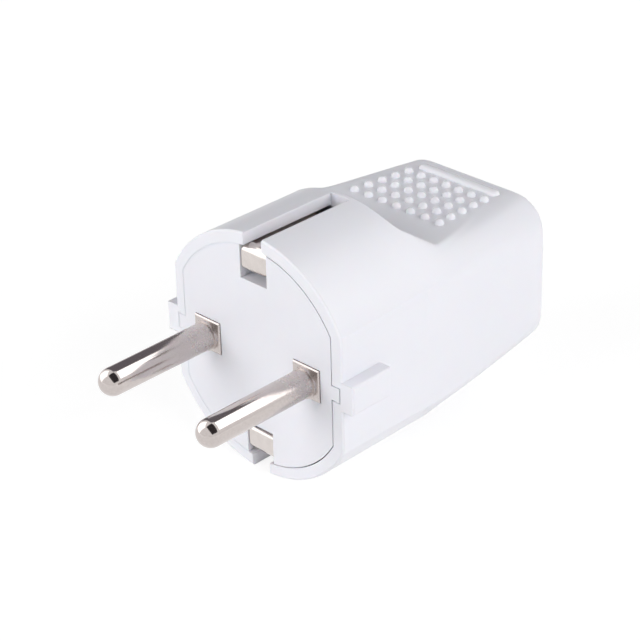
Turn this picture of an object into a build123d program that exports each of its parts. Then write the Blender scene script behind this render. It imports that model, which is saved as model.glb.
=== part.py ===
from build123d import *
import os
from math import cos, hypot, radians, sin, sqrt, tan

# Earthed two-pin plug, in millimetres. Origin: middle of the front face, between the pins.
# +X is right seen from the front, +Y runs from the front face to the rear, +Z is up.

# Pins: round, turned from square bar whose shank shows at the face
pin_spacing = 19.0
pin_diameter = 4.0
pin_length = 19.3
pin_ring_diameter = 4.4
pin_ring_length = 0.5
collar_side = 4.85
collar_proud = 0.3
collar_chamfer = 0.15

# Housing: drafted round barrel with two flat sides
barrel_radius = 18.15
flat_cut = 2.21
barrel_draft_angle = 0.3
side_draft_angle = 1.2
body_length = 45.2
wall = 1.8
rear_corner_radius = 5.0
rear_edge_radius = 1.6
rear_edge_steps = 3
rim_chamfer = 0.25
cord_entry_radius = 4.25
cord_entry_chamfer = 0.6

# Scooped grip, the same above and below; the shoulders beside it fall away to the rear
grip_length = 28.2
grip_setback = 12.2
grip_slope = 2.9
scoop_depth = 6.1
scoop_angle = 48.0
scoop_root_radius = 4.5
shoulder_lag = 2.5
shoulder_drop = 8.0
crease_fall = 1.68

# Raised dots and bar on the grip
dot_columns = 7
dot_rows = 5
dot_pitch_across = 2.53
dot_pitch_along = 2.62
dot_narrowing = 0.011
dot_sides = 8
dot_radius = 0.75
dot_height = 0.38
dot_chamfer = 0.45
bar_setback = 4.2
bar_length = 14.8
bar_width = 1.8
bar_height = 0.42
bar_chamfer = 0.5
root_depth = 0.2

# Guide lugs on the flat sides and slots for the earth contacts
lug_proud = 1.96
lug_height = 4.3
lug_length = 7.35
lug_chamfer = 0.25
slot_width = 3.4
slot_margin = 0.4

# Pin carrier: plate, pin sockets and spine
joint_gap = 0.15
fit_gap = 0.05
plate_thickness = 3.0
notch_width = 5.0
notch_depth = 5.0
socket_side = 8.4
socket_depth = 7.5
snap_tab_height = 2.1
snap_tab_reach = 1.45
snap_tab_length = 5.0
snap_nose_reach = 0.75
snap_nose_start = 2.4
snap_nose_length = 2.0
stop_rib_height = 1.3
stop_rib_width = 1.5
stop_rib_place = 5.5
stop_rib_end = 14.0

# Terminals in the pins' rear ends
terminal_side = 5.6
terminal_length = 7.0
wire_hole_radius = 1.6
wire_hole_depth = 6.0

# Earth bracket: one bent strip round the carrier's spine
strip_width = 4.8
strip_thickness = 0.8
earth_recess = 2.25
earth_face = 0.4
earth_lip = 3.3
front_bend_radius = 2.0
rear_bend_radius = 2.2
bridge_margin = 1.6
bridge_pad = 8.0
washer_side = 7.0
washer_thickness = 0.8

# Cord cradle on the carrier's tongue, and the saddle over it
cord_radius = 4.0
clamp_gap = 1.2
cradle_setback = 18.2
cradle_length = 9.0
tongue_side_gap = 3.4
tongue_floor_gap = 1.15
tongue_thickness = 2.2
tongue_lag = 1.2
arm_inner = 4.0
saddle_length = 7.0
saddle_inset = 0.4
saddle_wall = 2.0
saddle_ear = 2.4
clamp_screw_edge = 2.34

# Slotted screws
thread_radius = 1.5
head_radius = 2.6
head_height = 1.7
slot_cut_width = 0.8
slot_cut_depth = 0.8
terminal_screw_length = 3.4
earth_screw_length = 6.5
clamp_screw_length = 8.0

barrel_draft = tan(radians(barrel_draft_angle))
side_draft = tan(radians(side_draft_angle))
front_run = 5.0
pin_x = pin_spacing / 2
flat_half = barrel_radius - flat_cut
crease_height = sqrt(barrel_radius**2 - flat_half**2)
rear_crease_height = crease_height - crease_fall
scoop_start = body_length - grip_length
shoulder_start = scoop_start + shoulder_lag
grip_middle = body_length - grip_setback
grip_height = barrel_radius - scoop_depth
bar_place = body_length - bar_setback
slot_length = scoop_start - slot_margin


def depth_plane(depth):
    return Plane.XZ.offset(-depth)


def radius_at(depth):
    return barrel_radius - depth * barrel_draft


def flat_at(depth):
    return flat_half - depth * side_draft


def grip_at(depth):
    return grip_height - (depth - grip_middle) * tan(radians(grip_slope))


# Where the ramp of the scoop would meet the grip, before it is rounded
ramp_fall = tan(radians(scoop_angle))
grip_fall = tan(radians(grip_slope))
foot_depth = (barrel_radius + scoop_start * ramp_fall - grip_height - grip_middle * grip_fall) / (
    ramp_fall - grip_fall
)
rear_arc_radius = hypot(flat_at(body_length), rear_crease_height + shoulder_drop)


def body_form(inset):
    """The body's outer form, or with an inset the form of its cavity, open past the front face."""
    top = barrel_radius + front_run
    sections = [
        (-front_run, radius_at(-front_run), 0),
        (shoulder_start, radius_at(shoulder_start), 0),
        (body_length - rear_edge_radius, rear_arc_radius, shoulder_drop),
    ]
    # the shoulders roll off to the rear wall in a few short cones
    for step in range(1, rear_edge_steps + 1):
        turn = radians(90 * step / rear_edge_steps)
        depth = body_length - rear_edge_radius * (1 - sin(turn))
        sections.append((depth, rear_arc_radius - rear_edge_radius * (1 - cos(turn)), shoulder_drop))
    with BuildPart() as form:
        for depth, radius, drop in sections:
            arc_radius = radius - inset
            half = sqrt(arc_radius**2 - drop**2)
            with BuildSketch(depth_plane(depth)):
                with BuildLine():
                    ThreePointArc((-half, 0), (0, arc_radius - drop), (half, 0))
                    ThreePointArc((half, 0), (0, drop - arc_radius), (-half, 0))
                make_face()
        loft(ruled=True)
        with BuildSketch(Plane.XY) as plan:
            with BuildLine():
                Polyline(
                    (-flat_at(-front_run), -front_run),
                    (flat_at(-front_run), -front_run),
                    (flat_at(body_length), body_length),
                    (-flat_at(body_length), body_length),
                    close=True,
                )
            make_face()
            fillet(plan.vertices().group_by(Axis.Y)[-1], rear_corner_radius)
            if inset:
                offset(amount=-inset)
        extrude(amount=top, both=True, mode=Mode.INTERSECT)
        with BuildSketch(Plane.YZ) as side:
            with BuildLine():
                Polyline(
                    (-front_run, 0),
                    (-front_run, top),
                    (scoop_start - front_run / ramp_fall, top),
                    (foot_depth, grip_at(foot_depth)),
                    (body_length, grip_at(body_length)),
                    (body_length, 0),
                )
                mirror(about=Plane.XZ)
            make_face()
            fillet(side.vertices().filter_by(lambda v: abs(v.X - foot_depth) < 0.001), scoop_root_radius)
            fillet(side.vertices().group_by(Axis.X)[-1], rear_edge_radius)
            if inset:
                offset(amount=-inset)
        extrude(amount=top, both=True, mode=Mode.INTERSECT)
    return form.part


def grip_plane(side):
    """Plane lying on the upper (1) or lower (-1) grip, its Z out of the body and its Y to the rear."""
    outward = (0, sin(radians(grip_slope)), side * cos(radians(grip_slope)))
    return Plane(origin=(0, grip_middle, side * grip_height), x_dir=(side, 0, 0), z_dir=outward)


def slotted_screw(seat, length):
    """Cheese-head screw whose head stands on the seat plane and whose thread goes into it."""
    with BuildPart() as screw:
        with BuildSketch(seat):
            Circle(head_radius)
        extrude(amount=head_height)
        with BuildSketch(seat):
            Circle(thread_radius)
        extrude(amount=-length)
        with BuildSketch(seat.offset(head_height)):
            Rectangle(slot_cut_width, 2 * head_radius + slot_cut_width)
        extrude(amount=-slot_cut_depth, mode=Mode.SUBTRACT)
    return screw


# Housing
rear_wall = body_length - wall
lug_half = flat_half + lug_proud
lug_base = flat_at(lug_length) - wall / 2
cavity_flat = flat_half - wall
tab_end = cavity_flat - joint_gap + snap_tab_reach
nose_end = tab_end + snap_nose_reach
dot_places = []
for row in range(dot_rows):
    along = (row - (dot_rows - 1) / 2) * dot_pitch_along
    pitch = dot_pitch_across * (1 - dot_narrowing * along)
    for column in range(dot_columns):
        across = (column - (dot_columns - 1) / 2) * pitch
        dot_places.append((across, along))

# one raised dot and one raised bar, their roots sunk into the wall
with BuildPart() as dot:
    with BuildSketch(Plane.XY.offset(-root_depth)):
        RegularPolygon(dot_radius, dot_sides)
    extrude(amount=root_depth + dot_height)
    chamfer(dot.faces().sort_by(Axis.Z)[-1].edges(), dot_chamfer)
with BuildPart() as bar:
    with BuildSketch(Plane.XY.offset(-root_depth)) as bar_outline:
        Rectangle(bar_length, bar_width)
        chamfer(bar_outline.vertices(), bar_chamfer)
    extrude(amount=root_depth + bar_height)
    chamfer(bar.faces().sort_by(Axis.Z)[-1].edges(), bar_chamfer)

with BuildPart() as housing:
    add(body_form(0))
    split(bisect_by=Plane.XZ, keep=Keep.BOTTOM)
    chamfer(housing.faces().sort_by(Axis.Y)[0].edges(), rim_chamfer)
    # guide lugs, flush with the front face
    for side in (-1, 1):
        with BuildSketch(Plane.XZ):
            with Locations((side * (lug_base + lug_half) / 2, 0)):
                Rectangle(lug_half - lug_base, lug_height)
        extrude(amount=-lug_length)
        lug_end = housing.faces().sort_by(Axis.X)[-1 if side > 0 else 0]
        chamfer(lug_end.edges(), lug_chamfer)
    add(body_form(wall), mode=Mode.SUBTRACT)
    # slots over the earth contacts, top and bottom
    with BuildSketch(Plane.XY):
        with Locations((0, slot_length / 2)):
            Rectangle(slot_width, slot_length)
    extrude(amount=barrel_radius + wall, both=True, mode=Mode.SUBTRACT)
    # notch for the carrier's snap tab, with a pocket for its nose inside the lug
    for side in (-1, 1):
        for near, far, start, end in (
            (cavity_flat - wall / 2, tab_end + joint_gap, 0, snap_tab_length + joint_gap),
            (
                cavity_flat - wall / 2,
                nose_end + joint_gap,
                snap_nose_start - joint_gap,
                snap_nose_start + snap_nose_length + joint_gap,
            ),
        ):
            with BuildSketch(depth_plane(start)):
                with Locations((side * (near + far) / 2, 0)):
                    Rectangle(far - near, snap_tab_height + 2 * joint_gap)
            extrude(amount=start - end, mode=Mode.SUBTRACT)
    # ribs that stop the carrier's plate
    rib_inner = cavity_flat - stop_rib_height
    rib_outer = flat_at(stop_rib_end) - wall / 2
    for side in (-1, 1):
        with BuildSketch(depth_plane(plate_thickness)):
            with GridLocations(0, 2 * stop_rib_place, 1, 2):
                with Locations((side * (rib_inner + rib_outer) / 2, 0)):
                    Rectangle(rib_outer - rib_inner, stop_rib_width)
        extrude(amount=plate_thickness - stop_rib_end)
    # cord entry in the rear wall
    with BuildSketch(depth_plane(rear_wall)):
        Circle(cord_entry_radius)
    extrude(amount=-wall, mode=Mode.SUBTRACT)
    rear_face = housing.faces().sort_by(Axis.Y)[-1]
    chamfer(rear_face.inner_wires()[0].edges(), cord_entry_chamfer)
    # raised dots and bar
    for side in (1, -1):
        with Locations(grip_plane(side)):
            with Locations(*dot_places):
                add(dot.part)
            with Locations((0, bar_place - grip_middle)):
                add(bar.part)

# Pin carrier
carrier_radius = barrel_radius - wall - joint_gap
carrier_flat = cavity_flat - joint_gap
notch_floor = carrier_radius - notch_depth
earth_reach = barrel_radius - earth_recess
bridge_depth = scoop_start - bridge_margin
spine_top = earth_reach - strip_thickness
spine_end = bridge_depth - strip_thickness
cradle_start = body_length - cradle_setback
tongue_start = bridge_depth + tongue_lag
tongue_end = cradle_start + cradle_length + tongue_lag
tongue_half = cavity_flat - tongue_side_gap
saddle_half = tongue_half - saddle_inset
clamp_screw_place = saddle_half - clamp_screw_edge
tongue_bottom = grip_height - wall - tongue_floor_gap
tongue_top = tongue_bottom - tongue_thickness
with BuildPart() as pin_carrier:
    with BuildSketch(Plane.XZ):
        Circle(carrier_radius)
        Rectangle(2 * carrier_flat, 2 * carrier_radius, mode=Mode.INTERSECT)
        with GridLocations(0, 2 * carrier_radius, 1, 2):
            Rectangle(notch_width, 2 * (carrier_radius - notch_floor), mode=Mode.SUBTRACT)
    extrude(amount=-plate_thickness)
    # snap tabs at the sides
    for side in (-1, 1):
        for far, start, end in (
            (tab_end, 0, snap_tab_length),
            (nose_end, snap_nose_start, snap_nose_start + snap_nose_length),
        ):
            near = carrier_flat - wall / 2
            with BuildSketch(depth_plane(start)):
                with Locations((side * (near + far) / 2, 0)):
                    Rectangle(far - near, snap_tab_height)
            extrude(amount=start - end)
    # spine that the earth bracket goes round
    with BuildSketch(depth_plane(plate_thickness)):
        Rectangle(strip_width, 2 * spine_top)
    extrude(amount=plate_thickness - spine_end)
    fillet(pin_carrier.edges().filter_by(Axis.X).group_by(Axis.Y)[-1], rear_bend_radius - strip_thickness)
    # sockets for the pins' square shanks
    with BuildSketch(depth_plane(plate_thickness)):
        with GridLocations(pin_spacing, 0, 2, 1):
            Rectangle(socket_side, socket_side)
    extrude(amount=plate_thickness - socket_depth)
    with BuildSketch(Plane.XZ):
        with GridLocations(pin_spacing, 0, 2, 1):
            Rectangle(collar_side + 2 * fit_gap, collar_side + 2 * fit_gap)
    extrude(amount=-socket_depth, mode=Mode.SUBTRACT)
    # tongue to the rear, carried by an arm at each side of the bracket
    arm_width = tongue_half - arm_inner
    with BuildSketch(Plane.XY.offset(-tongue_bottom)):
        with Locations((0, (tongue_start + tongue_end) / 2)):
            Rectangle(2 * tongue_half, tongue_end - tongue_start)
        with GridLocations(tongue_half + arm_inner, 0, 2, 1):
            with Locations((0, tongue_start / 2)):
                Rectangle(arm_width, tongue_start)
    extrude(amount=tongue_thickness)
    # cradle for the cord
    with BuildSketch(depth_plane(cradle_start)):
        with Locations((0, -(tongue_top + clamp_gap / 2) / 2)):
            Rectangle(2 * tongue_half, tongue_top - clamp_gap / 2)
        Circle(cord_radius, mode=Mode.SUBTRACT)
    extrude(amount=-cradle_length)
    # threads for the earth screw and the two clamp screws
    with BuildSketch(depth_plane(spine_end)):
        Circle(thread_radius + fit_gap)
    extrude(amount=earth_screw_length, mode=Mode.SUBTRACT)
    with BuildSketch(Plane.XY.offset(-clamp_gap / 2)):
        with Locations((0, cradle_start + cradle_length / 2)):
            with GridLocations(2 * clamp_screw_place, 0, 2, 1):
                Circle(thread_radius + fit_gap)
    extrude(amount=-clamp_screw_length, mode=Mode.SUBTRACT)


def contact_pin(x):
    """One pin: round nose, turned ring, square shank and the terminal block behind the socket."""
    pin_radius = pin_diameter / 2
    terminal_end = socket_depth + terminal_length
    screw_depth = socket_depth + terminal_length / 2
    with BuildPart() as pin:
        with BuildSketch(Plane.XY):
            with BuildLine():
                Line((x, collar_proud), (x, -pin_length))
                RadiusArc((x, -pin_length), (x + pin_radius, pin_radius - pin_length), -pin_radius)
                Line((x + pin_radius, pin_radius - pin_length), (x + pin_radius, collar_proud))
                Line((x + pin_radius, collar_proud), (x, collar_proud))
            make_face()
        revolve(axis=Axis((x, 0, 0), (0, 1, 0)))
        with BuildSketch(depth_plane(-collar_proud)):
            with Locations((x, 0)):
                Circle(pin_ring_diameter / 2)
        extrude(amount=pin_ring_length)
        with BuildSketch(depth_plane(-collar_proud)):
            with Locations((x, 0)):
                Rectangle(collar_side, collar_side)
        extrude(amount=-collar_proud - socket_depth)
        collar_edges = pin.edges().filter_by(Axis.X) + pin.edges().filter_by(Axis.Z)
        chamfer(collar_edges.group_by(Axis.Y)[0], collar_chamfer)
        with BuildSketch(depth_plane(socket_depth)):
            with Locations((x, 0)):
                Rectangle(terminal_side, terminal_side)
        extrude(amount=-terminal_length)
        with BuildSketch(depth_plane(terminal_end)):
            with Locations((x, 0)):
                Circle(wire_hole_radius)
        extrude(amount=wire_hole_depth, mode=Mode.SUBTRACT)
        with BuildSketch(Plane.XY):
            with Locations((x, screw_depth)):
                Circle(thread_radius + fit_gap)
        extrude(amount=terminal_side, mode=Mode.SUBTRACT)
    seat = Plane(origin=(x, screw_depth, terminal_side / 2))
    return pin, slotted_screw(seat, terminal_screw_length)


left_pin, left_terminal_screw = contact_pin(-pin_x)
right_pin, right_terminal_screw = contact_pin(pin_x)

# Earth bracket
earth_end = earth_reach - earth_lip
with BuildPart() as earth_bracket:
    with BuildSketch(Plane.YZ):
        with BuildLine():
            FilletPolyline(
                (earth_face, earth_end),
                (earth_face, earth_reach),
                (bridge_depth, earth_reach),
                (bridge_depth, -earth_reach),
                (earth_face, -earth_reach),
                (earth_face, -earth_end),
                radius=[front_bend_radius, rear_bend_radius, rear_bend_radius, front_bend_radius],
            )
            offset(amount=strip_thickness, side=Side.RIGHT)
        make_face()
    extrude(amount=strip_width / 2, both=True)
    with BuildSketch(depth_plane(spine_end)):
        Rectangle(bridge_pad, bridge_pad)
    extrude(amount=-strip_thickness)
    with BuildSketch(depth_plane(spine_end)):
        Circle(thread_radius + fit_gap)
    extrude(amount=-strip_thickness, mode=Mode.SUBTRACT)

with BuildPart() as earth_washer:
    with BuildSketch(depth_plane(bridge_depth)):
        Rectangle(washer_side, washer_side)
        Circle(thread_radius + fit_gap, mode=Mode.SUBTRACT)
    extrude(amount=-washer_thickness)

earth_seat = Plane(origin=(0, bridge_depth + washer_thickness, 0), x_dir=(1, 0, 0), z_dir=(0, 1, 0))
earth_screw = slotted_screw(earth_seat, earth_screw_length)

# Cord clamp: a saddle with an ear at each side
ear_top = clamp_gap / 2 + saddle_ear
saddle_middle = cradle_start + cradle_length / 2
with BuildPart() as cord_clamp:
    with BuildSketch(depth_plane(saddle_middle - saddle_length / 2)):
        Circle(cord_radius + saddle_wall)
        with Locations((0, -saddle_half + clamp_gap / 2)):
            Rectangle(4 * saddle_half, 2 * saddle_half, mode=Mode.SUBTRACT)
        with Locations((0, (clamp_gap / 2 + ear_top) / 2)):
            Rectangle(2 * saddle_half, saddle_ear)
        Circle(cord_radius, mode=Mode.SUBTRACT)
    extrude(amount=-saddle_length)
    with BuildSketch(Plane.XY):
        with Locations((0, saddle_middle)):
            with GridLocations(2 * clamp_screw_place, 0, 2, 1):
                Circle(thread_radius + fit_gap)
    extrude(amount=2 * ear_top, mode=Mode.SUBTRACT)



def clamp_screw(x):
    return slotted_screw(Plane(origin=(x, saddle_middle, ear_top)), clamp_screw_length)


left_clamp_screw = clamp_screw(-clamp_screw_place)
right_clamp_screw = clamp_screw(clamp_screw_place)

pieces = {
    "housing": housing,
    "pin_carrier": pin_carrier,
    "left_pin": left_pin,
    "right_pin": right_pin,
    "left_terminal_screw": left_terminal_screw,
    "right_terminal_screw": right_terminal_screw,
    "earth_bracket": earth_bracket,
    "earth_washer": earth_washer,
    "earth_screw": earth_screw,
    "cord_clamp": cord_clamp,
    "left_clamp_screw": left_clamp_screw,
    "right_clamp_screw": right_clamp_screw,
}
os.makedirs("parts", exist_ok=True)
for name, piece in pieces.items():
    piece.part.label = name
    export_step(piece.part, f"parts/{name}.step")
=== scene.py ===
import math

import bmesh
import bpy
from mathutils import Matrix, Vector


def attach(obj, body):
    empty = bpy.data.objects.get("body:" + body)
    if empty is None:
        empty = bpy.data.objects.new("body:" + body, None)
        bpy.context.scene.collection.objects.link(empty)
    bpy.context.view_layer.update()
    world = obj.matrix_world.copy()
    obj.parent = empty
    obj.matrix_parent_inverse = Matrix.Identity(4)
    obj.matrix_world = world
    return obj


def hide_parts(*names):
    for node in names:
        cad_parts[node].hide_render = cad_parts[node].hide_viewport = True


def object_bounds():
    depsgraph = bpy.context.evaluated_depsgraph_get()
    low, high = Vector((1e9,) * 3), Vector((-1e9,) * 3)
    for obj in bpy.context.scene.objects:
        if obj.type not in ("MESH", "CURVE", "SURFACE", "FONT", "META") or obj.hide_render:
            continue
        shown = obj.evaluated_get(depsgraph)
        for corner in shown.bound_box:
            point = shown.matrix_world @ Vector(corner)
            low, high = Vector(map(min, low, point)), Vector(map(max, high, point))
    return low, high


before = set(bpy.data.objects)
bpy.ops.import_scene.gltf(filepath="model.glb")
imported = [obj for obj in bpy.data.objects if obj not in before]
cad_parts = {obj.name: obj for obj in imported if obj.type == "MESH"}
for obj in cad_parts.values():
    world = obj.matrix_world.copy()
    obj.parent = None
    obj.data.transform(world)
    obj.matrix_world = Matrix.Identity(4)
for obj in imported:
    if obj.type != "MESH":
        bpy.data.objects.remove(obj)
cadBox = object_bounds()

scene = bpy.context.scene
scene.view_settings.view_transform = "Standard"
mm = 0.001
quarterTurn = math.pi / 2
print("frame loaded:", len(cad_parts), "nodes")


# sRGB hex to the linear colour the shaders want
def hexColor(text):
    channels = [int(text[i:i + 2], 16) / 255 for i in (1, 3, 5)]
    linear = [c / 12.92 if c <= 0.04045 else ((c + 0.055) / 1.055) ** 2.4 for c in channels]
    return (*linear, 1.0)


# adds one node, fills its settings and sockets, and links what comes in
def addNode(tree, kind, settings=None, inputs=None, links=None):
    node = tree.nodes.new(kind)
    for name, value in (settings or {}).items():
        setattr(node, name, value)
    for name, value in (inputs or {}).items():
        node.inputs[name].default_value = value
    for name, socket in (links or {}).items():
        tree.links.new(socket, node.inputs[name])
    return node


# the mix node's two colours and its result go by number, since its other kinds share their names
mixFirst, mixSecond, mixResult = 6, 7, 2


def newMaterial(name):
    material = bpy.data.materials.new(name)
    material.use_nodes = True
    material.node_tree.nodes.clear()
    return material, material.node_tree


# injection-moulded plastic: clean cool white, satin gloss, a whisper of mould grain, soft edges
def makeMouldedPlastic(look):
    material, tree = newMaterial(look["name"])
    place = addNode(tree, "ShaderNodeTexCoord").outputs["Object"]
    flow = addNode(tree, "ShaderNodeTexNoise", None,
                   {"Scale": 1 / (look["flowSize"] * mm), "Detail": 2.0}, {"Vector": place})
    tint = addNode(tree, "ShaderNodeMix", {"data_type": "RGBA"},
                   {mixFirst: hexColor(look["color"]), mixSecond: hexColor(look["colorDeep"])},
                   {"Factor": flow.outputs["Fac"]})
    grain = addNode(tree, "ShaderNodeTexNoise", None,
                    {"Scale": 1 / (look["grainSize"] * mm), "Detail": 3.0}, {"Vector": place})
    gloss = addNode(tree, "ShaderNodeMapRange", None,
                    {"To Min": look["roughness"] - look["roughSpread"],
                     "To Max": look["roughness"] + look["roughSpread"]},
                    {"Value": flow.outputs["Fac"]})
    softEdge = addNode(tree, "ShaderNodeBevel", {"samples": 8}, {"Radius": look["edgeRadius"] * mm})
    if "softFrom" in look:
        # the grip runs into the shoulders softly: a wider edge there and only there
        axes = addNode(tree, "ShaderNodeSeparateXYZ", None, None, {"Vector": place})
        there = None
        for axis, (start, full) in look["softFrom"].items():
            away = addNode(tree, "ShaderNodeMath", {"operation": "ABSOLUTE"}, None, {0: axes.outputs[axis]})
            ease = addNode(tree, "ShaderNodeMapRange", {"interpolation_type": "SMOOTHSTEP"},
                           {"From Min": start * mm, "From Max": full * mm},
                           {"Value": away.outputs["Value"]}).outputs["Result"]
            if there is None:
                there = ease
            else:
                there = addNode(tree, "ShaderNodeMath", {"operation": "MULTIPLY"}, None,
                                {0: there, 1: ease}).outputs["Value"]
        width = addNode(tree, "ShaderNodeMapRange", None,
                        {"To Min": look["edgeRadius"] * mm, "To Max": look["softRadius"] * mm},
                        {"Value": there})
        tree.links.new(width.outputs["Result"], softEdge.inputs["Radius"])
    bump = addNode(tree, "ShaderNodeBump", None,
                   {"Strength": look["grainStrength"], "Distance": look["grainDepth"] * mm},
                   {"Height": grain.outputs["Fac"], "Normal": softEdge.outputs["Normal"]})
    plastic = addNode(tree, "ShaderNodeBsdfPrincipled", None,
                      {"IOR": look["ior"], "Subsurface Weight": look["glow"],
                       "Subsurface Scale": look["glowDepth"] * mm},
                      {"Base Color": tint.outputs[mixResult], "Roughness": gloss.outputs["Result"],
                       "Normal": bump.outputs["Normal"]})
    addNode(tree, "ShaderNodeOutputMaterial", None, None, {"Surface": plastic.outputs["BSDF"]})
    return material


# nickel-plated brass, turned: warm grey mirror with fine rings from the lathe, duller near the root
def makeNickelTurned(look):
    material, tree = newMaterial(look["name"])
    place = addNode(tree, "ShaderNodeTexCoord").outputs["Object"]
    squeeze = addNode(tree, "ShaderNodeMapping", None, {"Scale": look["squeeze"]}, {"Vector": place})
    rings = addNode(tree, "ShaderNodeTexNoise", None,
                    {"Scale": 1 / (look["ringSpacing"] * mm), "Detail": 3.0, "Roughness": 0.6},
                    {"Vector": squeeze.outputs["Vector"]})
    speck = addNode(tree, "ShaderNodeTexNoise", None,
                    {"Scale": 1 / (look["speckSize"] * mm), "Detail": 4.0}, {"Vector": place})
    along = addNode(tree, "ShaderNodeSeparateXYZ", None, None, {"Vector": place})
    dull = addNode(tree, "ShaderNodeMapRange", {"interpolation_type": "SMOOTHSTEP"},
                   {"From Min": look["brightFrom"] * mm, "From Max": look["dullFrom"] * mm,
                    "To Min": look["roughTip"], "To Max": look["roughRoot"]},
                   {"Value": along.outputs["Y"]})
    blotch = addNode(tree, "ShaderNodeMath", {"operation": "MULTIPLY_ADD"},
                     {1: look["roughSpread"]},
                     {0: speck.outputs["Fac"], 2: dull.outputs["Result"]})
    tint = addNode(tree, "ShaderNodeMix", {"data_type": "RGBA"},
                   {mixFirst: hexColor(look["color"]), mixSecond: hexColor(look["colorDeep"])},
                   {"Factor": speck.outputs["Fac"]})
    softEdge = addNode(tree, "ShaderNodeBevel", {"samples": 4}, {"Radius": look["edgeRadius"] * mm})
    bump = addNode(tree, "ShaderNodeBump", None,
                   {"Strength": look["ringStrength"], "Distance": look["ringDepth"] * mm},
                   {"Height": rings.outputs["Fac"], "Normal": softEdge.outputs["Normal"]})
    metal = addNode(tree, "ShaderNodeBsdfPrincipled", None, {"Metallic": 1.0},
                    {"Base Color": tint.outputs[mixResult], "Roughness": blotch.outputs["Value"],
                     "Normal": bump.outputs["Normal"]})
    addNode(tree, "ShaderNodeOutputMaterial", None, None, {"Surface": metal.outputs["BSDF"]})
    return material


# rolled strip or plated steel: straight lines from rolling or drawing, a little cloudy
def makeRolledMetal(look):
    material, tree = newMaterial(look["name"])
    place = addNode(tree, "ShaderNodeTexCoord").outputs["Object"]
    stretch = addNode(tree, "ShaderNodeMapping", None, {"Scale": look["stretch"]}, {"Vector": place})
    lines = addNode(tree, "ShaderNodeTexNoise", None,
                    {"Scale": 1 / (look["lineSpacing"] * mm), "Detail": 2.0},
                    {"Vector": stretch.outputs["Vector"]})
    cloud = addNode(tree, "ShaderNodeTexNoise", None,
                    {"Scale": 1 / (look["cloudSize"] * mm), "Detail": 3.0}, {"Vector": place})
    rough = addNode(tree, "ShaderNodeMapRange", None,
                    {"To Min": look["roughness"] - look["roughSpread"],
                     "To Max": look["roughness"] + look["roughSpread"]},
                    {"Value": cloud.outputs["Fac"]})
    tint = addNode(tree, "ShaderNodeMix", {"data_type": "RGBA"},
                   {mixFirst: hexColor(look["color"]), mixSecond: hexColor(look["colorDeep"])},
                   {"Factor": cloud.outputs["Fac"]})
    bump = addNode(tree, "ShaderNodeBump", None,
                   {"Strength": look["lineStrength"], "Distance": look["lineDepth"] * mm},
                   {"Height": lines.outputs["Fac"]})
    metal = addNode(tree, "ShaderNodeBsdfPrincipled", None, {"Metallic": 1.0},
                    {"Base Color": tint.outputs[mixResult], "Roughness": rough.outputs["Result"],
                     "Normal": bump.outputs["Normal"]})
    addNode(tree, "ShaderNodeOutputMaterial", None, None, {"Surface": metal.outputs["BSDF"]})
    return material


# sizes in mm; grain, rings and lines are finer on the real thing and drawn coarser here, so that they show
# ABS from a fine-spark mould: satin, the edges a little rounded by the mould
shellLook = {
    "name": "mouldedAbsShell",
    "color": "#EDEDF3", "colorDeep": "#EAEAF1",
    "roughness": 0.36, "roughSpread": 0.03, "ior": 1.54,
    "glow": 0.08, "glowDepth": 0.6,
    "flowSize": 9.0,
    "grainSize": 0.25, "grainDepth": 0.01, "grainStrength": 0.25,
    "edgeRadius": 0.22,
    "softRadius": 0.85, "softFrom": {"X": (8.3, 9.0), "Y": (23.0, 29.0), "Z": (10.0, 10.6)},
}
# the same ABS where the mould was polished: dots and bars catch small bright lights, and their colour is
# painted lighter than the shell's, which is painted light
dotLook = {
    "name": "mouldedAbsPolishedPaintedLighter",
    # colour lighter than the shell's same ABS: painted light on the dots and bars
    "color": "#F2F2F7", "colorDeep": "#EFEFF5",
    "roughness": 0.24, "roughSpread": 0.03, "ior": 1.54,
    "glow": 0.08, "glowDepth": 0.6,
    "flowSize": 9.0,
    "grainSize": 0.25, "grainDepth": 0.002, "grainStrength": 0.1,
    "edgeRadius": 0.02,
}
# moulded polyamide: a little duller than the shell, crisper at the edges
carrierLook = {
    "name": "mouldedPolyamideCarrier",
    "color": "#ECECF2", "colorDeep": "#E8E8EF",
    "roughness": 0.42, "roughSpread": 0.03, "ior": 1.53,
    "glow": 0.08, "glowDepth": 0.6,
    "flowSize": 7.0,
    "grainSize": 0.3, "grainDepth": 0.012, "grainStrength": 0.3,
    "edgeRadius": 0.12,
}
# turned brass under bright nickel: a mirror at the tip, rubbed duller towards the face
pinLook = {
    "name": "nickelPlatedTurnedBrass",
    "color": "#CFC7C4", "colorDeep": "#C0B7B4",
    "squeeze": (0.12, 1.0, 0.12), "ringSpacing": 0.22, "ringDepth": 0.004, "ringStrength": 0.35,
    "speckSize": 0.35,
    "roughTip": 0.06, "roughRoot": 0.24, "roughSpread": 0.08,
    "brightFrom": -15.0, "dullFrom": -3.0,
    "edgeRadius": 0.06,
}
# rolled brass strip under nickel: bright, with straight lines along the strip
stripLook = {
    "name": "nickelPlatedRolledBrass",
    "color": "#DDD6D2", "colorDeep": "#D1C9C5",
    "stretch": (1.0, 0.06, 0.06), "lineSpacing": 0.18, "lineDepth": 0.004, "lineStrength": 0.3,
    "cloudSize": 1.2, "roughness": 0.2, "roughSpread": 0.06,
}
# steel under clear zinc: cooler and greyer than the nickel
screwLook = {
    "name": "zincPlatedSteel",
    "color": "#C9CBCF", "colorDeep": "#B9BBC0",
    "stretch": (1.0, 1.0, 0.3), "lineSpacing": 0.25, "lineDepth": 0.004, "lineStrength": 0.3,
    "cloudSize": 0.8, "roughness": 0.32, "roughSpread": 0.08,
}
mouldedAbs = makeMouldedPlastic(shellLook)
# the dots and bars get the polished ABS with its painted lighter colour
polishedAbsPaintedLighter = makeMouldedPlastic(dotLook)
mouldedPolyamide = makeMouldedPlastic(carrierLook)
nickelTurned = makeNickelTurned(pinLook)
nickelStrip = makeRolledMetal(stripLook)
zincSteel = makeRolledMetal(screwLook)

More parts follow.
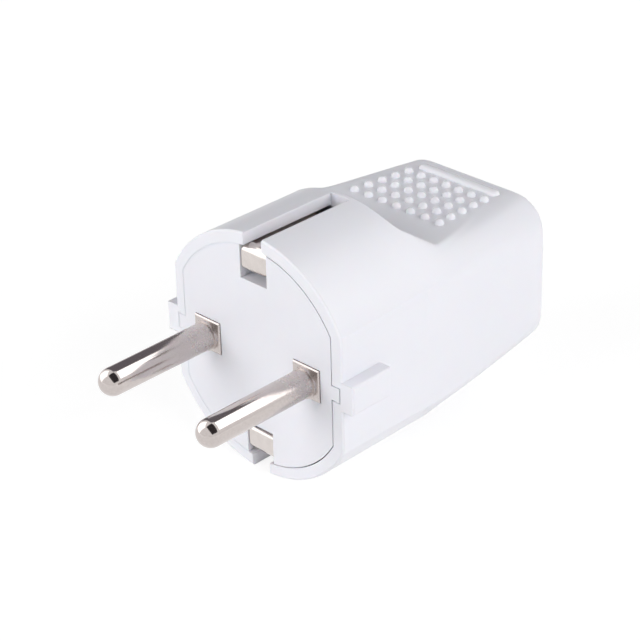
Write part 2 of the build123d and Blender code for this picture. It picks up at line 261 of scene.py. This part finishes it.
# the screws and the washer, which are not named here, are zinc-plated
finishOf = {
    "housing": mouldedAbs,
    "pin_carrier": mouldedPolyamide,
    "cord_clamp": mouldedPolyamide,
    "left_pin": nickelTurned,
    "right_pin": nickelTurned,
    "earth_bracket": nickelStrip,
}
for name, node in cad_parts.items():
    node.data.materials.clear()
    node.data.materials.append(finishOf.get(name, zincSteel))
print("finishes on", len(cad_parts), "nodes")


def addPiece(name, mesh, material):
    piece = bpy.data.objects.new(name, mesh)
    scene.collection.objects.link(piece)
    mesh.materials.append(material)
    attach(piece, "root")
    return piece


# turns what was built into a mesh and lets go of it
def toMesh(build, name, smooth=True):
    for face in build.faces:
        face.smooth = smooth
    mesh = bpy.data.meshes.new(name)
    build.to_mesh(mesh)
    build.free()
    return mesh


# a band of faces between two rings of as many points
def joinRings(build, before, after):
    for n in range(len(before)):
        follow = (n + 1) % len(before)
        build.faces.new((before[n], before[follow], after[follow], after[n]))


# a share of the way from one value to another
def between(first, last, share):
    return first + (last - first) * share


def slope(angle):
    return math.tan(math.radians(angle))


# the grip's own plane: x across, y to the rear, z out of the wall
grip = {"middle": 33.0, "height": 12.05, "slope": 2.9}


def gripMatrix(side):
    tilt = math.radians(grip["slope"])
    out = Vector((0, math.sin(tilt), side * math.cos(tilt)))
    back = Vector((0, math.cos(tilt), -side * math.sin(tilt)))
    turn = Matrix((back.cross(out), back, out)).transposed().to_4x4()
    return Matrix.Translation(Vector((0, grip["middle"], side * grip["height"])) * mm) @ turn


def gripLevel(depth):
    return grip["height"] - (depth - grip["middle"]) * slope(grip["slope"])


# shell: the front of the solid as it is, and behind the slots a rear that rounds off as the moulding does
# lengths in mm from the face or the axis, angles in degrees, rates in shares of the rear's length
rear = {
    "start": 16.9, "join": 17.1, "turnFrom": 19.5, "end": 45.2,
    "barrelRadius": 18.15, "barrelDraft": 0.3, "flat": 15.94, "flatDraft": 1.2,
    "scoopStart": 17.45, "stepEnd": 18.5, "rampEnd": 22.3, "rampAngle": 33.0, "rampBlend": 0.12,
    "sideTo": 27.5, "cornerTo": 42.0, "topTo": 90.0,
    "cornerRadius": 9.85, "cornerSpare": 0.65, "ease": 1.41,
    "roll": 2.1, "planCorner": 5.0, "entryRim": 5.0,
    "crease": (0.1, 1.5), "creaseRate": 1.5, "lip": (0.15, 0.6), "lipRate": 3.0,
    "sideSteps": 10, "cornerSteps": 36, "topSteps": 60, "scoopRuns": 26, "runs": 44, "rollRuns": 10,
    "sharpFrom": 20.0, "near": 0.01, "weld": 0.001,
}


# the lower of two lengths, eased over a blend
def softLower(a, b, blend):
    near = max(blend - abs(a - b), 0) / blend
    return min(a, b) - near * near * blend / 4


# how far a round of a radius has drawn in at a depth near the rear end
def drawnIn(depth, radius):
    past = depth - (rear["end"] - radius)
    return radius - math.sqrt(max(radius ** 2 - past ** 2, 0)) if past > 0 else 0.0


# half height of the side view: the scoop starts with a steep step, then a ramp down to the grip
def sideHeight(depth):
    def ramp(place):
        fall = (rear["rampEnd"] - place) * slope(rear["rampAngle"])
        return gripLevel(place) - softLower(-fall, 0, rear["rampBlend"])

    share = (rear["stepEnd"] - depth) / (rear["stepEnd"] - rear["scoopStart"])
    share = min(max(share, 0), 1)
    step = rear["barrelRadius"] - ramp(rear["scoopStart"])
    return ramp(depth) + step * (1 - math.sqrt(1 - share ** 2))


# half width of the plan view: drafted flats and the round rear corners
def planWidth(depth):
    return rear["flat"] - depth * slope(rear["flatDraft"]) - drawnIn(depth, rear["planCorner"])


# one section of the rear, anticlockwise from the right: barrel arcs that turn into a rounded rectangle
def rearSection(depth):
    inset = drawnIn(depth, rear["roll"])
    past = max(depth - rear["turnFrom"], 0)
    turned = min(past / (rear["end"] - rear["roll"] - rear["turnFrom"]), 1) ** rear["ease"]
    share = past / (rear["end"] - rear["turnFrom"])
    barrel = rear["barrelRadius"] - min(depth, rear["turnFrom"]) * slope(rear["barrelDraft"])
    endFlat = rear["flat"] - rear["end"] * slope(rear["flatDraft"])
    bow = rear["cornerRadius"] - inset
    across = endFlat + rear["cornerSpare"] - rear["cornerRadius"]
    upright = gripLevel(rear["end"]) + rear["cornerSpare"] - rear["cornerRadius"]
    pairs = []  # an angle on the barrel and its point on the rectangle
    for n in range(rear["sideSteps"]):
        part = n / rear["sideSteps"]
        pairs.append((rear["sideTo"] * part, (across + bow, upright * part)))
    for n in range(rear["cornerSteps"]):
        part = n / rear["cornerSteps"]
        bend = quarterTurn * part
        pairs.append((between(rear["sideTo"], rear["cornerTo"], part),
                      (across + bow * math.cos(bend), upright + bow * math.sin(bend))))
    for n in range(rear["topSteps"] + 1):
        part = n / rear["topSteps"]
        pairs.append((between(rear["cornerTo"], rear["topTo"], part), (across * (1 - part), upright + bow)))
    crease = between(*rear["crease"], min(share * rear["creaseRate"], 1))
    lip = between(*rear["lip"], min(share * rear["lipRate"], 1))
    width, height = planWidth(depth), sideHeight(depth) - inset
    quarter = []
    for angle, (x, z) in pairs:
        turn = math.radians(angle)
        x = softLower(between(barrel * math.cos(turn), x, turned), width, crease)
        z = softLower(between(barrel * math.sin(turn), z, turned), height, lip)
        quarter.append((max(x, 0), max(z, 0)))
    half = quarter + [(-x, z) for x, z in quarter[-2::-1]]
    return half + [(x, -z) for x, z in half[-2:0:-1]]


# faces between two closed loops round the plug's axis, by their angles
def stitch(build, first, second):
    def angleOf(vert):
        return math.atan2(vert.co.z, vert.co.x)

    a, b = sorted(first, key=angleOf), sorted(second, key=angleOf)
    i = j = 0
    while i < len(a) or j < len(b):
        nextA = angleOf(a[i + 1]) if i + 1 < len(a) else angleOf(a[0]) + 2 * math.pi
        nextB = angleOf(b[j + 1]) if j + 1 < len(b) else angleOf(b[0]) + 2 * math.pi
        if j >= len(b) or (i < len(a) and nextA <= nextB):
            build.faces.new((a[i % len(a)], a[(i + 1) % len(a)], b[j % len(b)]))
            i += 1
        else:
            build.faces.new((a[i % len(a)], b[(j + 1) % len(b)], b[j % len(b)]))
            j += 1


# faces of the outside behind the cut: all that the right flat leads to, short of the cut and the cord entry
def outsideBehind(build):
    behind = [face for face in build.faces if face.calc_center_median().y > rear["start"] * mm]
    found = {max(behind, key=lambda face: face.calc_center_median().x)}
    queue = list(found)
    while queue:
        for edge in queue.pop().edges:
            ends = [vert.co / mm for vert in edge.verts]
            onCut = all(abs(end.y - rear["start"]) < rear["near"] for end in ends)
            onRim = all(math.hypot(end.x, end.z) < rear["entryRim"] for end in ends)
            if not onCut and not onRim:
                fresh = [face for face in edge.link_faces if face not in found]
                found.update(fresh)
                queue.extend(fresh)
    return list(found)


# depths of the sections: close together in the scoop, and closer again round the rear edge
def rearDepths():
    straight = rear["end"] - rear["roll"]
    scoopRuns, runs, rollRuns = rear["scoopRuns"], rear["runs"], rear["rollRuns"]
    depths = [between(rear["join"], rear["turnFrom"], n / scoopRuns) for n in range(scoopRuns)]
    depths += [between(rear["turnFrom"], straight, n / runs) for n in range(runs + 1)]
    depths += [straight + rear["roll"] * math.sin(quarterTurn * n / rollRuns) for n in range(1, rollRuns + 1)]
    return depths


def makeShell():
    build = bmesh.new()
    build.from_mesh(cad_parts["housing"].data)
    bmesh.ops.remove_doubles(build, verts=build.verts, dist=rear["weld"] * mm)
    everything = build.verts[:] + build.edges[:] + build.faces[:]
    bmesh.ops.bisect_plane(build, geom=everything, dist=rear["weld"] * mm,
                           plane_co=(0, rear["start"] * mm, 0), plane_no=(0, 1, 0))
    bmesh.ops.delete(build, geom=outsideBehind(build), context="FACES")
    opened = {vert for edge in build.edges if edge.is_boundary for vert in edge.verts}
    front = [vert for vert in opened if abs(vert.co.y / mm - rear["start"]) < rear["near"]]
    rim = [vert for vert in opened if vert not in front]
    loops = []
    for depth in rearDepths():
        loops.append([build.verts.new(Vector((x, depth, z)) * mm) for x, z in rearSection(depth)])
    stitch(build, front, loops[0])
    for before, after in zip(loops, loops[1:]):
        joinRings(build, before, after)
    stitch(build, loops[-1], rim)
    bmesh.ops.recalc_face_normals(build, faces=build.faces)
    openEdges = sum(edge.is_boundary for edge in build.edges)
    print("shell: new rear on", len(front), "points, open edges:", openEdges)
    mesh = toMesh(build, "shell")
    if "custom_normal" in mesh.attributes:  # the solid's own normals, which don't fit the new rear
        mesh.attributes.remove(mesh.attributes["custom_normal"])
    mesh.set_sharp_from_angle(angle=math.radians(rear["sharpFrom"]))
    piece = addPiece("shell", mesh, mouldedAbs)
    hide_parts("housing")


makeShell()

# fin in the joint round the carrier, from slot to slot on the left, where the real joint closes up
fin = {
    "from": 2.5, "radius": 16.275, "flat": 14.065, "tabHeight": 1.125, "tabEnd": 15.515,
    "width": 0.17, "below": 0.03, "depth": 0.5, "steps": 28,
}


def makeFin():
    start = math.asin(fin["from"] / fin["radius"])
    stop = math.asin(fin["flat"] / fin["radius"])
    line = []
    for n in range(fin["steps"] + 1):
        turn = between(start, stop, n / fin["steps"])
        line.append((-fin["radius"] * math.sin(turn), fin["radius"] * math.cos(turn)))
    line += [(-fin["flat"], fin["tabHeight"]), (-fin["tabEnd"], fin["tabHeight"])]
    line += [(x, -z) for x, z in reversed(line)]
    build = bmesh.new()
    rows = []
    for n, (x, z) in enumerate(line):
        here = Vector((x, z))
        before = (here - Vector(line[n - 1])).normalized() if n else None
        after = (Vector(line[n + 1]) - here).normalized() if n + 1 < len(line) else None
        ahead = before + after if before and after else before or after
        ahead.normalize()
        side = Vector((-ahead.y, ahead.x))
        reach = fin["width"] / 2 / ahead.dot(after or before)  # further at a corner, so the width stays
        row = []
        for way, depth in ((1, fin["below"]), (-1, fin["below"]), (-1, fin["depth"]), (1, fin["depth"])):
            spot = here + side * reach * way
            row.append(build.verts.new(Vector((spot.x, depth, spot.y)) * mm))
        rows.append(row)
    for before, after in zip(rows, rows[1:]):
        joinRings(build, before, after)
    build.faces.new(rows[0])
    build.faces.new(rows[-1])
    bmesh.ops.recalc_face_normals(build, faces=build.faces)
    addPiece("jointFin", toMesh(build, "jointFin", smooth=False), mouldedPolyamide)


makeFin()
print("fin in the joint on the left")

# contact faces of the earth strip: bright, worn level with the front, bent round into the slots
contact = {
    "half": 2.42, "softEdge": 0.07, "face": 0.16, "top": 16.2, "end": 12.35, "back": 1.6,
    "bend": 1.2, "endBend": 0.8, "thickness": 0.4, "steps": 14, "lowerRise": 0.5, "sharpFrom": 20.0,
}


def makeContact(name, side, rise):
    outer, inner = [], []
    for line, depth in ((outer, 0), (inner, contact["thickness"])):
        line.append((contact["back"], contact["top"] - depth))
        for level, radius, way in ((contact["top"] - contact["bend"], contact["bend"], 1),
                                   (contact["end"] + contact["endBend"], contact["endBend"], -1)):
            for n in range(contact["steps"] + 1):
                turn = quarterTurn * n / contact["steps"]
                turn = turn if way > 0 else quarterTurn - turn
                line.append((contact["face"] + radius - (radius - depth) * math.sin(turn),
                             level + way * (radius - depth) * math.cos(turn)))
        line.append((contact["back"], contact["end"] + depth))
    build = bmesh.new()
    rows = []
    for hand, share in ((-1, 1), (-1, 0), (1, 0), (1, 1)):
        # the outermost row is drawn in a little, so that the sheared edge is not sharp
        across = hand * (contact["half"] - contact["softEdge"] * (1 - share))
        drawn = contact["softEdge"] * share / contact["thickness"]
        ring = [Vector(point).lerp(Vector(within), drawn) for point, within in zip(outer, inner)]
        ring += [Vector(point) for point in reversed(inner)]
        rows.append([build.verts.new(Vector((across, y, side * z + rise)) * mm) for y, z in ring])
    for before, after in zip(rows, rows[1:]):
        joinRings(build, before, after)
    for row in (rows[0], rows[-1]):
        for n in range(len(row) // 2 - 1):
            build.faces.new((row[n], row[n + 1], row[-2 - n], row[-1 - n]))
    bmesh.ops.recalc_face_normals(build, faces=build.faces)
    mesh = toMesh(build, name)
    mesh.set_sharp_from_angle(angle=math.radians(contact["sharpFrom"]))
    addPiece(name, mesh, nickelStrip)


for name, side, rise in (("upperContact", 1, 0), ("lowerContact", -1, contact["lowerRise"])):
    makeContact(name, side, rise)
print("contact faces above and below")

# thumb dots: smooth low domes in a field that narrows a little to the rear
dots = {
    "columns": 7, "rows": 5, "pitchAcross": 2.53, "pitchAlong": 2.62, "narrowing": 0.011,
    "radius": 0.68, "height": 0.74, "sink": 0.1, "around": 20, "rings": 7,
}


def makeDots(name, side):
    ball = (dots["radius"] ** 2 + dots["height"] ** 2) / (2 * dots["height"])
    reach = math.acos((ball - dots["height"] - dots["sink"]) / ball)
    place = gripMatrix(side)
    build = bmesh.new()
    for row in range(dots["rows"]):
        along = (row - (dots["rows"] - 1) / 2) * dots["pitchAlong"]
        pitch = dots["pitchAcross"] * (1 - dots["narrowing"] * along)
        for column in range(dots["columns"]):
            across = (column - (dots["columns"] - 1) / 2) * pitch
            rings = []
            for k in range(1, dots["rings"] + 1):
                angle = reach * k / dots["rings"]
                flat, level = ball * math.sin(angle), dots["height"] - ball + ball * math.cos(angle)
                ring = []
                for n in range(dots["around"]):
                    turn = 2 * math.pi * n / dots["around"]
                    point = Vector((across + flat * math.cos(turn), along + flat * math.sin(turn), level))
                    ring.append(build.verts.new(place @ (point * mm)))
                rings.append(ring)
            top = build.verts.new(place @ (Vector((across, along, dots["height"])) * mm))
            for n in range(dots["around"]):
                build.faces.new((top, rings[0][n], rings[0][(n + 1) % dots["around"]]))
            for upper, lower in zip(rings, rings[1:]):
                joinRings(build, lower, upper)
    addPiece(name, toMesh(build, name), polishedAbsPaintedLighter)


for name, side in (("upperDots", 1), ("lowerDots", -1)):
    makeDots(name, side)
print("thumb dots above and below")

# stop bar behind the dots: a rounded ridge with round ends
bar = {"place": 41.0, "length": 14.9, "width": 1.8, "height": 0.6, "around": 12, "rings": 7}


def makeBar(name, side):
    place = gripMatrix(side)
    along = bar["place"] - grip["middle"]
    reach = (bar["length"] - bar["width"]) / 2
    build = bmesh.new()
    rings = []
    for k in range(bar["rings"]):
        angle = quarterTurn * k / bar["rings"]
        flat = bar["width"] / 2 * math.cos(angle)
        rise = bar["height"] * math.sin(angle)
        ring = []
        for end in (1, -1):
            for n in range(bar["around"] + 1):
                turn = math.pi * n / bar["around"] - quarterTurn * end
                point = Vector((end * reach + flat * math.cos(turn), along + flat * math.sin(turn), rise))
                ring.append(build.verts.new(place @ (point * mm)))
        rings.append(ring)
    for lower, upper in zip(rings, rings[1:]):
        joinRings(build, lower, upper)
    build.faces.new(rings[-1])
    bmesh.ops.recalc_face_normals(build, faces=build.faces)
    addPiece(name, toMesh(build, name), polishedAbsPaintedLighter)


for name, side in (("upperBar", 1), ("lowerBar", -1)):
    makeBar(name, side)
print("stop bars above and below")

# pale table under the plug, and the studio round it: aim in mm, the rest in metres
studio = {
    "aim": (0, 14, 0),
    "floorSize": 6.0, "floorColor": "#F4F4F4", "floorShow": 0.62, "floorGlow": 1.25,
    "worldColor": "#FFFFFF", "worldLight": 0.25, "worldShow": 1.0,
    "cardDistance": 0.95, "lampDistance": 0.8, "lampSize": 0.6,
}


# turns a flat thing to face the plug from a direction, its long side along a given line
def facing(way, along, distance):
    out = Vector(way).normalized()
    side = Vector(along)
    side = (side - out * side.dot(out)).normalized()
    turn = Matrix((side, out.cross(side), out)).transposed().to_4x4()
    return Matrix.Translation(Vector(studio["aim"]) * mm + out * distance) @ turn


def addFlat(name, size, material, place):
    wide, tall = (side / 2 for side in size)
    corners = [(-wide, -tall, 0), (wide, -tall, 0), (wide, tall, 0), (-wide, tall, 0)]
    mesh = bpy.data.meshes.new(name)
    mesh.from_pydata(corners, [], [range(len(corners))])
    mesh.materials.append(material)
    flat = bpy.data.objects.new(name, mesh)
    scene.collection.objects.link(flat)
    flat.matrix_world = place
    return flat


# 1 for what looks at a thing straight, in gloss or through glass, and 0 for the light it gives
def seenShare(tree):
    light = addNode(tree, "ShaderNodeLightPath")
    seen = light.outputs["Is Camera Ray"]
    for ray in ("Is Glossy Ray", "Is Transmission Ray"):
        seen = addNode(tree, "ShaderNodeMath", {"operation": "MAXIMUM"}, None,
                       {0: seen, 1: light.outputs[ray]}).outputs["Value"]
    return seen


# matt white board that keeps the plug's shadow and still shows as white
def makeFloor():
    material, tree = newMaterial("paleTable")
    share = addNode(tree, "ShaderNodeMath", {"operation": "MULTIPLY"}, {1: studio["floorShow"]},
                    {0: seenShare(tree)})
    matte = addNode(tree, "ShaderNodeBsdfDiffuse", None, {"Color": hexColor(studio["floorColor"])})
    white = addNode(tree, "ShaderNodeEmission", None, {"Strength": studio["floorGlow"]})
    both = addNode(tree, "ShaderNodeMixShader", None, None,
                   {"Fac": share.outputs["Value"], 1: matte.outputs["BSDF"], 2: white.outputs["Emission"]})
    addNode(tree, "ShaderNodeOutputMaterial", None, None, {"Surface": both.outputs["Shader"]})
    level = Matrix.Translation((0, 0, cadBox[0].z))
    addFlat("table", (studio["floorSize"], studio["floorSize"]), material, level)


# cards that only the gloss sees: behind the plug a dark one for the streak on the pins and a white one
# for the band beside it, overhead a dark one and up to the left a white one for the patches on their tips
cards = {
    "streakCard": {"from": (-0.564, 0.62, 0.545), "along": (-0.695, 0.0, -0.719), "size": (1.36, 0.80),
                   "color": "#767278", "strength": 1.0},
    "bandPanel": {"from": (0.404, 0.62, 0.672), "along": (0.857, 0.0, -0.515), "size": (0.93, 0.285),
                  "color": "#FFFFFF", "strength": 2.6},
    "tipShade": {"from": (0.52, -0.20, 0.83), "along": (1.25, -0.06, -0.65), "size": (1.50, 0.95),
                 "color": "#3E3A3C", "strength": 1.0},
    "tipPanel": {"from": (-0.82, -0.40, 0.34), "along": (-0.78, -0.30, -1.0), "size": (1.55, 0.95),
                 "color": "#FFFFFF", "strength": 2.2},
}


def makeCards():
    for name, card in cards.items():
        material, tree = newMaterial(name)
        glow = addNode(tree, "ShaderNodeEmission", None,
                       {"Color": hexColor(card["color"]), "Strength": card["strength"]})
        addNode(tree, "ShaderNodeOutputMaterial", None, None, {"Surface": glow.outputs["Emission"]})
        place = facing(card["from"], card["along"], studio["cardDistance"])
        panel = addFlat(name, card["size"], material, place)
        panel.visible_camera = False
        panel.visible_diffuse = False
        panel.visible_transmission = False
        panel.visible_shadow = False


def makeWorld():
    world = bpy.data.worlds.new("studioWorld")
    scene.world = world
    world.use_nodes = True
    tree = world.node_tree
    tree.nodes.clear()
    level = addNode(tree, "ShaderNodeMapRange", None,
                    {"To Min": studio["worldLight"], "To Max": studio["worldShow"]},
                    {"Value": seenShare(tree)})
    sky = addNode(tree, "ShaderNodeBackground", None, {"Color": hexColor(studio["worldColor"])},
                  {"Strength": level.outputs["Result"]})
    addNode(tree, "ShaderNodeOutputWorld", None, None, {"Surface": sky.outputs["Background"]})


# soft boxes, left out of the gloss: direction from the plug, line of one side, power in watts
lamps = {
    "sideBox": {"from": (0.88, 0.04, 0.40), "along": (0, 1, 0), "power": 3.55},
    "frontBox": {"from": (-0.30, -0.88, 0.36), "along": (1, 0, 0), "power": 4.15},
    "rearFill": {"from": (0.60, 0.62, 0.50), "along": (1, 0, 0), "power": 1.0},
    "backFill": {"from": (-0.50, 0.60, 0.60), "along": (1, 0, 0), "power": 0.7},
}


def makeLamps():
    for name, lamp in lamps.items():
        data = bpy.data.lights.new(name, "AREA")
        data.shape = "SQUARE"
        data.size = studio["lampSize"]
        data.energy = lamp["power"]
        box = bpy.data.objects.new(name, data)
        scene.collection.objects.link(box)
        box.matrix_world = facing(lamp["from"], lamp["along"], studio["lampDistance"])
        box.visible_glossy = False


makeFloor()
makeCards()
makeWorld()
makeLamps()
print("table, world,", len(cards), "cards and", len(lamps), "lamps")

# camera at the photograph's place, found from the pins, the face and the thumb dots: place in mm
shot = {
    "place": (183.00, -169.39, 143.17),
    "ahead": (-0.62140, 0.61643, -0.48391),
    "up": (-0.32413, 0.35986, 0.87490),
    "lens": 120.22, "sensor": 36.0, "clipStart": 0.01, "clipEnd": 50.0,
}


def makeCamera():
    data = bpy.data.cameras.new("photoCamera")
    data.lens = shot["lens"]
    data.sensor_width = shot["sensor"]
    data.clip_start = shot["clipStart"]
    data.clip_end = shot["clipEnd"]
    camera = bpy.data.objects.new("photoCamera", data)
    scene.collection.objects.link(camera)
    back = -Vector(shot["ahead"]).normalized()
    side = Vector(shot["up"]).cross(back).normalized()
    turn = Matrix((side, back.cross(side), back)).transposed().to_4x4()
    camera.matrix_world = Matrix.Translation(Vector(shot["place"]) * mm) @ turn
    scene.camera = camera


makeCamera()
print("camera set")
